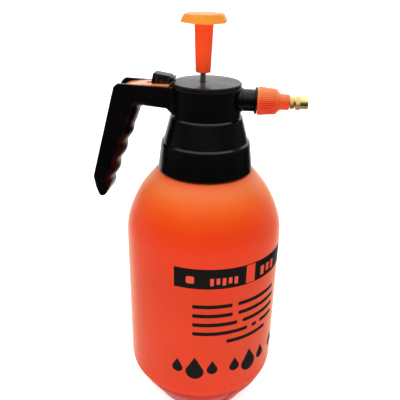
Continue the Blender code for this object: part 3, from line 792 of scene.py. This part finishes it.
minus(housing,
      lathe("bore", [(0, 18), (5.5, 18), (5.5, 50), (0, 50)], 48, axis="x",
            centre=(0, 0, up(SPIGOT_Z))),
      lathe("pump_hole", [(0, up(-30)), (11.8, up(-30)), (11.8, up(-15)), (0, up(-15))], 72,
            centre=(PUMP_X, 0, 0)),
      lathe("valve_hole", [(0, up(-30)), (5.3, up(-30)), (5.3, up(-15)), (0, up(-15))], 48,
            centre=(VALVE_X, 0, 0)),
      block("window", -29, -19, -7, 7, up(-12.2), up(-5.8)))
only(shade(housing, 38.0), SHELL_MAT)
done(housing, "head", slot_of("head_housing"), "head_housing")

cover = lathe("cover_disc", [(r, up(h)) for r, h in profile([
    (0, 0), (24.0, 0, 0.4), (24.65, -0.65, 0.4), (24.7, -2.5, 0.12), (22.4, -2.5), (22.4, -4.2, 0.2),
    (21.4, -4.2, 0.2), (21.4, -2.3), (0, -2.3)])], SEG, COVER_MAT)
minus(cover, lathe("rod_hole", [(0, up(-5)), (2.5, up(-5)), (2.5, up(-0.5)), (3.1, up(0.1)),
                                (3.1, up(2)), (0, up(2))], 48, centre=(PUMP_X, 0, 0)))
only(shade(cover, 38.0), COVER_MAT)
done(cover, "head", slot_of("top_cover"), "top_cover")


# ------------------------------------------------------------------ handle
FINGER_TOP, FINGER_END = (-51.9, -29.0), (-73.1, -83.4)
FINGER_STEPS = 110


def handle_outline(depth):
    """Outline of the handle, with the grip's wave at the given depth. Returns points and,
    for each, how round the grip is there, from 0 to 1, and how far the rounding reaches."""
    wave = []
    ridge, pitch = -39.2, 15.2
    for k in range(FINGER_STEPS + 1):
        t = k / FINGER_STEPS
        z = FINGER_TOP[1] + (FINGER_END[1] - FINGER_TOP[1]) * t
        x = FINGER_TOP[0] + (FINGER_END[0] - FINGER_TOP[0]) * t
        fade = min(1.0, max(0.0, t - 0.03) * 6.0, (1.0 - t) * 6.0)
        x += depth * smoothstep(fade) * math.cos(2 * math.pi * (z - ridge) / pitch)
        round_part = smoothstep(t * 3.0 + 0.757) * smoothstep((1.0 - t) * 6.0 + 0.3)
        wave.append((x, z, round_part, 7.6 - 2.6 * t))
    pts = [(-21.0, -3.0), (-62.4, -2.0), (-65.2, -4.4), (-67.3, -11.7), (-84.4, -73.6),
           (-83.0, -82.0), (-80.9, -88.4), (-78.6, -90.2), (-75.4, -88.2)]
    radii = {1: 2.4, 2: 3.0, 3: 12.0, 4: 5.0, 5: 8.0, 6: 2.4, 7: 2.0, 8: 2.6}
    tail = [(-50.3, -24.4), (-48.7, -19.8), (-44.0, -17.8), (-27.2, -17.8), (-21.0, -24.0)]
    head_part = corner([wave[0][:2]] + pts + [wave[-1][:2]],
                       {i + 1: r for i, r in radii.items()}, 6)[1:-1]
    tail_part = corner([wave[0][:2]] + tail + [pts[0]], {1: 3.0, 2: 3.0, 3: 4.5, 4: 2.0}, 6)[1:-1]
    out = [(x, z, 0.0, 7.6) for x, z in head_part]
    out += list(reversed(wave))
    for x, z in tail_part:
        out.append((x, z, 0.85 * smoothstep((-38.0 - x) / 10.0), 7.6))
    return out


def soft_handle(name, steps=10):
    bm = bmesh.new()
    base = handle_outline(0.0)
    flat = [p[:2] for p in base]
    reach_y = [0.55 + 11.15 * p[2] for p in base]
    reach_x = [0.55 + (p[3] - 0.55) * p[2] for p in base]
    unit = inset_outline(flat, 1.0)
    normals = [Vector((u[0] - f[0], u[1] - f[1])) for u, f in zip(unit, flat)]
    layers = []
    angles = [math.pi / 2 * k / steps for k in range(steps, -1, -1)]
    for side in (0, 1):
        for a in (angles if side == 0 else list(reversed(angles))):
            pts = handle_outline(0.95 * math.cos(a) ** 0.6 if a < 1.57 else 0.0)
            row = []
            for p, n, ey, ex in zip(pts, normals, reach_y, reach_x):
                ins = ex * (1 - math.cos(a))
                y = -12.0 + ey * (1 - math.sin(a))
                row.append(bm.verts.new((p[0] + n.x * ins, y if side == 0 else -y,
                                         up(p[1] + n.y * ins))))
            layers.append(row)
    n = len(base)
    bm.faces.new(layers[0])
    bm.faces.new(list(reversed(layers[-1])))
    for A, B in zip(layers, layers[1:]):
        for i in range(n):
            j = (i + 1) % n
            bm.faces.new((A[i], B[i], B[j], A[j]))
    return to_object(bm, name, GRIP_MAT, 40.0)


handle = soft_handle("handle_shell")
for poly in handle.data.polygons:
    if len(poly.vertices) > 60:
        poly.use_smooth = False
channel = corner([(-18, 3), (-110, 3), (-110, -80), (-80.0, -80), (-75.2, -67), (-58.2, -26.0),
                  (-55.4, -18.6), (-52.0, -15.6), (-18, -15.6)], {5: 8.0, 6: 3.0, 7: 2.0}, 4,
                 closed=True)
minus(handle,
      rounded_prism("channel", [(x, up(z)) for x, z in channel], -9.5, 9.5, 0.5, None, steps=2),
      lathe("saddle", [(0, up(-40)), (25.1, up(-40)), (25.1, up(10)), (0, up(10))], 144),
      lathe("pin_hole", [(0, -11.2), (1.8, -11.2), (1.8, 11.2), (0, 11.2)], 32, axis="y",
            centre=(PIN[0], 0, up(PIN[1]))))
bevel(handle, 0.3, 50.0, 2)
only(shade(handle, 32.0), GRIP_MAT)
done(handle, "head", slot_of("handle_frame"), "handle_frame")

# ------------------------------------------------------- lever and its lock
pad = corner([(-25.7, -2.0), (-44.5, -2.3), (-50.5, -2.7), (-56.0, -3.5), (-60.6, -5.0),
              (-63.4, -7.4), (-65.4, -11.4), (-67.9, -20.0), (-70.2, -28.4), (-67.8, -29.0),
              (-65.4, -20.6), (-63.0, -12.4), (-61.2, -9.4), (-57.8, -7.2), (-52.0, -5.6),
              (-44.5, -4.9), (-25.7, -4.6)],
             {0: 0.8, 1: 8, 2: 8, 3: 8, 4: 5, 5: 4, 6: 6, 7: 10, 8: 0.9, 9: 0.9, 10: 10, 11: 5,
              12: 4, 13: 5, 14: 8, 15: 8, 16: 0.6}, 5, closed=True)
lever = rounded_prism("lever_shell", [(x, up(z)) for x, z in pad], -9.1, 9.1, 0.8, LEVER_MAT)
yz = (up(-10.1), up(-7.9))
yoke = lathe("yoke", profile([(12.6, yz[0], 0.3), (17.0, yz[0], 0.3), (17.0, yz[1], 0.3),
                              (12.6, yz[1], 0.3)], 3), 96, centre=(PUMP_X, 0, 0))
plus(yoke, block("bridge", -29, -17, -6, 6, yz[0] + 0.01, yz[1] - 0.01))
plus(yoke, block("tongue", 11.5, 19.5, -3.6, 3.6, yz[0] + 0.02, yz[1] - 0.02))
minus(yoke, block("stem_slot", VALVE_X, 22, -1.7, 1.7, up(-14), up(-4)),
      lathe("stem_hole", [(0, up(-14)), (1.7, up(-14)), (1.7, up(-4)), (0, up(-4))], 32,
            centre=(VALVE_X, 0, 0)))
plus(lever,
     lathe("hub", profile([(0, -9.1), (4.2, -9.1, 0.5), (4.2, 9.1, 0.5), (0, 9.1)], 3), 48,
           axis="y", centre=(PIN[0], 0, up(PIN[1]))),
     block("web", -33.0, -27.0, -8.7, 8.7, up(-9.0), up(-3.5)),
     yoke)
minus(lever,
      lathe("pin_bore", [(0, -13), (1.8, -13), (1.8, 13), (0, 13)], 32, axis="y",
            centre=(PIN[0], 0, up(PIN[1]))),
      block("lock_slot", -43.6, -35.2, -2.3, 2.3, up(-6), up(1)))
only(shade(lever, 35.0), LEVER_MAT)
done(lever, "lever", slot_of("thumb_lever"), "thumb_lever")

body_outline = corner([(-39.4, -1.9), (-37.8, 5.3), (-25.9, 3.6), (-25.2, 2.8), (-25.2, -1.6)],
                      {0: 0.3, 1: 0.8, 2: 0.6, 3: 0.5, 4: 0.3}, 4, closed=True)
lock = rounded_prism("lock_shell", [(x, up(z)) for x, z in body_outline], -5.5, 5.5, 0.5,
                     LOCK_MAT, steps=3)
nose = rounded_prism("nose", [(x, up(z)) for x, z in corner(
    [(-26.0, 0.45), (-26.0, 2.5), (-23.2, 2.5), (-23.2, 0.45)], {2: 0.4, 3: 0.3}, 3, closed=True)],
    -5.2, 5.2, 0.3, None, steps=2)
plus(lock, nose,
     block("neck_part", -38.8, -36.2, -2.0, 2.0, up(-5.0), up(0.4)),
     block("foot_part", -38.8, -35.8, -3.8, 3.8, up(-6.2), up(-4.4)))
only(shade(lock, 32.0), LOCK_MAT)
done(lock, "lock", slot_of("lock_slider"), "lock_slider")

# -------------------------------------------------------------------- pump
OCT = 1.0 / math.cos(math.pi / 8)
knob = lathe("knob_cap", [
    (0, up(45.6)), (12.5 * OCT, up(45.6)), (13.3 * OCT, up(44.9)), (15.45 * OCT, up(40.5)),
    (14.85 * OCT, up(39.9)), (0, up(39.9))], 8, KNOB_MAT, centre=(PUMP_X, 0, 0),
    phase=math.pi / 8)
bevel(knob, 0.45, 18.0, 3)
stem = lathe("knob_stem", [(r, up(h)) for r, h in profile([
    (0, 6.6), (5.05, 6.6, 0.4), (5.35, 7.1, 0.3), (6.55, 38.2, 2.0), (7.6, 40.2), (7.6, 42),
    (0, 42)])], 72, KNOB_MAT, centre=(PUMP_X, 0, 0))
plus(knob, stem)
minus(knob, lathe("rod_bore", [(0, up(4)), (2.3, up(4)), (2.3, up(20.4)), (0, up(20.4))], 40,
                  centre=(PUMP_X, 0, 0)))
only(shade(knob, 28.0), KNOB_MAT)
knob.name = "knob_shell"
done(knob, "pump_handle", slot_of("pump_knob"), "pump_knob")


def on_pump(name, rows, seg, mat, angle=35.0, steps=4):
    return lathe(name, [(r, up(h)) for r, h in profile(rows, steps)], seg, mat, angle,
                 centre=(PUMP_X, 0, 0))


rod = on_pump("rod_shell", [(0, 20.0), (2.0, 20.0, 0.3), (2.0, -143.4, 0.5), (0, -143.4)], 40,
              STEEL_MAT)
done(rod, "pump_handle", slot_of("pump_rod"), "pump_rod")
cylinder = on_pump("cylinder_shell", [
    (10.0, -6.3, 0.3), (11.5, -6.3, 0.3), (11.5, -19.4, 0.3), (13.8, -19.4, 0.3),
    (13.8, -21.4, 0.3), (11.5, -21.4, 0.3), (11.5, -60.0), (11.5, -100.0), (11.5, -157.0, 0.2),
    (10.0, -157.0, 0.2), (10.0, -100.0), (10.0, -60.0)], 80, NATURAL_MAT)
done(cylinder, "head", slot_of("pump_cylinder"), "pump_cylinder")
foot = on_pump("foot_shell", [
    (1.6, -150.2, 0.3), (9.7, -150.2, 0.3), (9.7, -157.3), (11.5, -157.3, 0.3),
    (11.5, -160.0, 0.5), (6.2, -160.0, 0.3), (6.2, -153.2), (1.6, -153.2, 0.3)], 64, WHITE_MAT)
done(foot, "head", slot_of("cylinder_foot"), "cylinder_foot")

# ------------------------------------------------------------- spray valve
dip = lathe("dip_shell", [(r, up(h)) for r, h in profile([
    (2.0, -34.4, 0.3), (3.0, -34.4, 0.3), (3.0, -110.0), (3.0, -180.0), (3.0, -250.0, 0.3),
    (2.0, -250.0, 0.3), (2.0, -180.0), (2.0, -110.0)], 3)], 48, NATURAL_MAT,
    centre=(VALVE_X, 0, 0))
done(dip, "head", slot_of("dip_tube"), "dip_tube")
strainer = lathe("strainer_shell", [(r, up(h)) for r, h in profile([
    (3.35, -243.0, 0.2), (4.8, -243.0, 0.4), (4.8, -257.0, 0.8), (4.2, -260.5, 0.5),
    (1.0, -260.5, 0.2), (1.0, -259.6, 0.2), (3.6, -256.4), (3.6, -250.6), (3.35, -250.3)])], 60,
    WHITE_MAT, centre=(VALVE_X, 0, 0))
cutters = []
for k in range(8):
    a = math.pi * k / 8 * 2 + 0.2
    bm = box_bm(2.0, 6.5, -0.45, 0.45, -256.4, -251.6)
    bm.transform(Matrix.Translation((VALVE_X, 0, TOP)) @ Matrix.Rotation(a, 4, "Z"))
    cutters.append(to_object(bm, "slit", None))
minus(strainer, *cutters)
only(shade(strainer, 35.0), WHITE_MAT)
done(strainer, "head", slot_of("strainer"), "strainer")


# ------------------------------------------------------------------ nozzle
def on_nozzle(name, rows, seg, mat, angle=35.0, steps=4, **kw):
    return lathe(name, profile(rows, steps), seg, mat, angle, axis="x",
                 centre=(0, 0, up(SPIGOT_Z)), **kw)


RIBS = 44
RIB_SUB = 8


def rib_radius(r, x, a):
    if r < 8.3 or x < 37.3 or x > 49.5:
        return r
    t = (a * RIBS / (2 * math.pi)) % 1.0
    groove = smoothstep(1.0 - abs(t - 0.5) / 0.30)
    fade = smoothstep((x - 37.3) / 0.6) * smoothstep((49.5 - x) / 0.8)
    return r - 0.55 * groove * fade


nut_rows = profile([
    (7.3, 36.4, 0.2), (9.8, 36.4, 0.3), (10.1, 36.9, 0.3), (10.05, 37.5), (9.98, 38.1),
    (9.5, 42.5), (9.1, 46.5), (8.98, 48.0), (8.9, 48.7, 0.3), (8.4, 49.7, 0.5), (5.95, 51.8, 0.5), (5.6, 52.8, 0.5),
    (5.5, 57.6, 0.5), (4.9, 58.6, 0.3), (3.5, 58.6, 0.2), (3.5, 47.6), (7.3, 47.6)], 4)
nut = lathe("nut_shell", nut_rows, RIBS * RIB_SUB, NUT_MAT, 30.0, axis="x",
            centre=(0, 0, up(SPIGOT_Z)), radius_at=rib_radius)
done(nut, "head", slot_of("nozzle_nut"), "nozzle_nut")


def knurl(r, x, a):
    if r > 4.3 and 59.1 < x < 61.5:
        t = (a * 36 / (2 * math.pi)) % 1.0
        return r - 0.16 * smoothstep(1.0 - abs(t - 0.5) / 0.4)
    return r


tip = lathe("tip_shell", profile([
    (1.4, 50.2, 0.1), (3.2, 50.2, 0.2), (3.2, 52.0, 0.1), (2.35, 52.0), (2.35, 53.6),
    (3.2, 53.6, 0.1), (3.2, 58.9), (4.4, 58.9, 0.15), (4.6, 59.2, 0.1), (4.6, 61.3, 0.1),
    (4.4, 61.6, 0.1), (3.7, 61.9, 0.15), (3.7, 62.5, 0.15), (4.3, 62.8, 0.1), (4.3, 66.0, 0.1),
    (4.35, 66.4, 0.1), (4.35, 71.0, 0.25), (4.0, 71.4, 0.15), (1.6, 71.4, 0.2), (0.5, 70.3),
    (0.5, 68.8), (1.4, 67.9)], 3), 144, BRASS_MAT, 30.0, axis="x", centre=(0, 0, up(SPIGOT_Z)),
    radius_at=knurl)
hexes = lathe("hex", [(3.9, 62.75), (5.2, 62.75), (5.2, 65.9), (3.9, 65.9)], 6, None,
              axis="x", centre=(0, 0, up(SPIGOT_Z)))
bevel(hexes, 0.2, 30.0, 2)
plus(tip, hexes)
only(shade(tip, 30.0), BRASS_MAT)
done(tip, "tip", slot_of("brass_tip"), "brass_tip")

# ------------------------------------------------------------- valve spring
def swept_spring(name, x, r, wire, z0, z1, turns, mat, around=32, sides=12):
    """Round-wire compression spring with closed end turns, as one swept solid."""
    bm = bmesh.new()
    count = turns * around
    free = (z1 - z0) - 4.2 * wire

    def height(t):
        low = min(t, 1.0) * 2.1 * wire
        high = max(t - (turns - 1.0), 0.0) * 2.1 * wire
        mid = min(max(t - 1.0, 0.0), turns - 2.0) * free / (turns - 2.0)
        return z0 + low + mid + high

    rings = []
    for k in range(count + 1):
        t = k / around
        a = 2 * math.pi * t
        rise = (height(min(t + 0.01, turns)) - height(max(t - 0.01, 0.0))) / (
            2 * math.pi * (min(t + 0.01, turns) - max(t - 0.01, 0.0)))
        out = Vector((math.cos(a), math.sin(a), 0.0))
        along = Vector((-r * math.sin(a), r * math.cos(a), rise)).normalized()
        side = along.cross(out)
        at = Vector((x + r * math.cos(a), r * math.sin(a), height(t)))
        rings.append([bm.verts.new(at + wire * (math.cos(b) * out + math.sin(b) * side))
                      for b in (2 * math.pi * j / sides for j in range(sides))])
    for low, high in zip(rings, rings[1:]):
        for j in range(sides):
            bm.faces.new((low[j], low[(j + 1) % sides], high[(j + 1) % sides], high[j]))
    bm.faces.new(list(reversed(rings[0])))
    bm.faces.new(rings[-1])
    return to_object(bm, name, mat)


spring = swept_spring("spring_wire", VALVE_X, 2.3, 0.35, up(-26.7), up(-13.4), 6, STEEL_MAT)
done(spring, "head", slot_of("valve_spring"), "valve_spring")
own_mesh(spring)

# --------------------------------- finishes of the parts that stay as they are
KEEP = {
    "neck_gasket": RUBBER_MAT, "check_flap": RUBBER_MAT, "piston_ring": RUBBER_MAT,
    "valve_seal": RUBBER_MAT, "nozzle_seal": RUBBER_MAT, "tip_oring": RUBBER_MAT,
    "rod_guide": WHITE_MAT, "check_cage": WHITE_MAT, "valve_gland": WHITE_MAT,
    "valve_stem": WHITE_MAT, "swirl_core": WHITE_MAT, "piston": NATURAL_MAT,
    "valve_body": NATURAL_MAT, "outlet_tube": NATURAL_MAT, "lever_pin": STEEL_MAT,
    "piston_washer": ZINC_MAT, "rod_nut": ZINC_MAT, "rod_collar": ZINC_MAT,
}
for n, m in KEEP.items():
    o = NODES[n]
    if o.data.materials:
        for i in range(len(o.data.materials)):
            o.data.materials[i] = m
    else:
        o.data.materials.append(m)

# ============================================================ floor, lights
scene = bpy.context.scene


def stage_floor():
    me = bpy.data.meshes.new("floor")
    s = 6.0
    me.from_pydata([(-s, -s, 0), (s, -s, 0), (s, s, 0), (-s, s, 0)], [], [(0, 1, 2, 3)])
    o = bpy.data.objects.new("floor", me)
    scene.collection.objects.link(o)
    m, nt, b = new_material("floor_paper")
    tc = node(nt, "ShaderNodeTexCoord").outputs["Object"]
    grain = noise(nt, tc, 40.0, 3.0, 0.5)
    nt.links.new(mix_colour(nt, ranged(nt, grain, 0.3, 0.7, 0.0, 1.0), (0.93, 0.93, 0.93),
                            (0.95, 0.95, 0.95)), b.inputs["Base Color"])
    b.inputs["Roughness"].default_value = 0.9
    b.inputs["Specular IOR Level"].default_value = 0.1
    b.inputs["Emission Color"].default_value = (1.0, 1.0, 1.0, 1.0)
    b.inputs["Emission Strength"].default_value = 0.60
    me.materials.append(m)
    o.visible_glossy = False
    return o


stage_floor()

TO_CAMERA = (0.12674, -0.89984, 0.41741)
world = bpy.data.worlds.new("studio")
scene.world = world
world.use_nodes = True
wt = world.node_tree
for n in list(wt.nodes):
    wt.nodes.remove(n)
w_out = node(wt, "ShaderNodeOutputWorld")
w_bg = node(wt, "ShaderNodeBackground")
direction = node(wt, "ShaderNodeTexCoord").outputs["Generated"]
dot = node(wt, "ShaderNodeVectorMath", operation="DOT_PRODUCT")
wt.links.new(direction, dot.inputs[0])
dot.inputs[1].default_value = TO_CAMERA
ramp = node(wt, "ShaderNodeValToRGB")
wt.links.new(ranged(wt, dot.outputs["Value"], -1.0, 1.0, 0.0, 1.0), ramp.inputs[0])
cr = ramp.color_ramp
cr.interpolation = "LINEAR"
stops = [(0.0, 0.10), (0.115, 0.10), (0.150, 0.10), (0.26, 0.06), (0.32, 0.14), (0.5, 0.16),
         (0.75, 0.10), (1.0, 0.08)]
cr.elements[0].position, cr.elements[1].position = stops[0][0], stops[-1][0]
cr.elements[0].color = (stops[0][1],) * 3 + (1,)
cr.elements[1].color = (stops[-1][1],) * 3 + (1,)
for p, v in stops[1:-1]:
    e = cr.elements.new(p)
    e.color = (v, v, v, 1)
sep = node(wt, "ShaderNodeSeparateXYZ")
wt.links.new(direction, sep.inputs[0])
overhead = ranged(wt, sep.outputs[2], 0.22, 0.85, 0.0, 1.65)
low_gain = ranged(wt, sep.outputs[2], -0.30, -0.05, 0.25, 1.0)
steep = ranged(wt, sep.outputs[2], -0.85, -0.50, 0.40, 0.0)
total = math_node(wt, "MULTIPLY", ramp.outputs[0], low_gain)
behind = math_node(wt, "MULTIPLY", ranged(wt, dot.outputs["Value"], -0.70, -0.77, 0.0, 1.0),
                   ranged(wt, sep.outputs[0], 0.34, 0.48, 1.0, 0.03))
total = math_node(wt, "ADD", math_node(wt, "ADD", total, overhead), steep)
back_high = math_node(wt, "MULTIPLY", ranged(wt, sep.outputs[1], 0.35, 0.65, 0.0, 1.0),
                      ranged(wt, sep.outputs[2], 0.0, 0.14, 0.0, 1.0))
total = math_node(wt, "MAXIMUM", total, math_node(wt, "MULTIPLY", behind, 1.25))
total = math_node(wt, "MAXIMUM", total, math_node(wt, "MULTIPLY", back_high, 1.9))
total = math_node(wt, "MULTIPLY", total, 0.72)
is_camera = node(wt, "ShaderNodeLightPath").outputs["Is Camera Ray"]
white = mix_colour(wt, is_camera, total, (1.0, 1.0, 1.0))
wt.links.new(white, w_bg.inputs["Color"])
w_bg.inputs["Strength"].default_value = 1.0
wt.links.new(w_bg.outputs[0], w_out.inputs["Surface"])


def area(name, at, target, size, power, size_y=None, colour=(1, 1, 1)):
    d = bpy.data.lights.new(name, "AREA")
    d.shape = "RECTANGLE"
    d.size = size
    d.size_y = size_y or size
    d.energy = power
    d.color = colour
    o = bpy.data.objects.new(name, d)
    scene.collection.objects.link(o)
    o.location = at
    o.rotation_euler = (Vector(target) - Vector(at)).to_track_quat("-Z", "Y").to_euler()
    return o


key = area("key", (-0.45, -1.05, 1.55), (0, 0, 0.15), 1.10, 6.5)
key.visible_glossy = False
area("top", (0.10, 0.25, 1.60), (0, 0, 0.2), 1.3, 3.0)

# =================================================================== camera
FWD = Vector((-0.12674, 0.89984, -0.41741)).normalized()
yaw, roll, az = math.radians(-0.517), math.radians(1.168), math.radians(7.5)
pitch = math.radians(24.671)
f0 = Vector((math.sin(yaw) * math.cos(pitch), math.cos(yaw) * math.cos(pitch), -math.sin(pitch)))
r0 = Vector((math.cos(yaw), -math.sin(yaw), 0))
u0 = r0.cross(f0)
r1 = r0 * math.cos(roll) + u0 * math.sin(roll)
u1 = u0 * math.cos(roll) - r0 * math.sin(roll)
turn = Matrix.Rotation(az, 3, "Z")
r1, u1, f1 = turn @ r1, turn @ u1, turn @ f0
cam_data = bpy.data.cameras.new("camera")
cam_data.sensor_width = 36.0
cam_data.sensor_fit = "HORIZONTAL"
cam_data.lens = 46.8
cam_data.clip_start = 0.01
cam_data.clip_end = 50.0
cam = bpy.data.objects.new("camera", cam_data)
scene.collection.objects.link(cam)
pose = Matrix((r1, u1, -f1)).transposed().to_4x4()
pose.translation = Vector((0.04810, -0.36536, 0.34524))
cam.matrix_world = pose
scene.camera = cam

scene.view_settings.view_transform = "Standard"
scene.view_settings.look = "None"
scene.view_settings.exposure = 0.0
scene.view_settings.gamma = 1.0
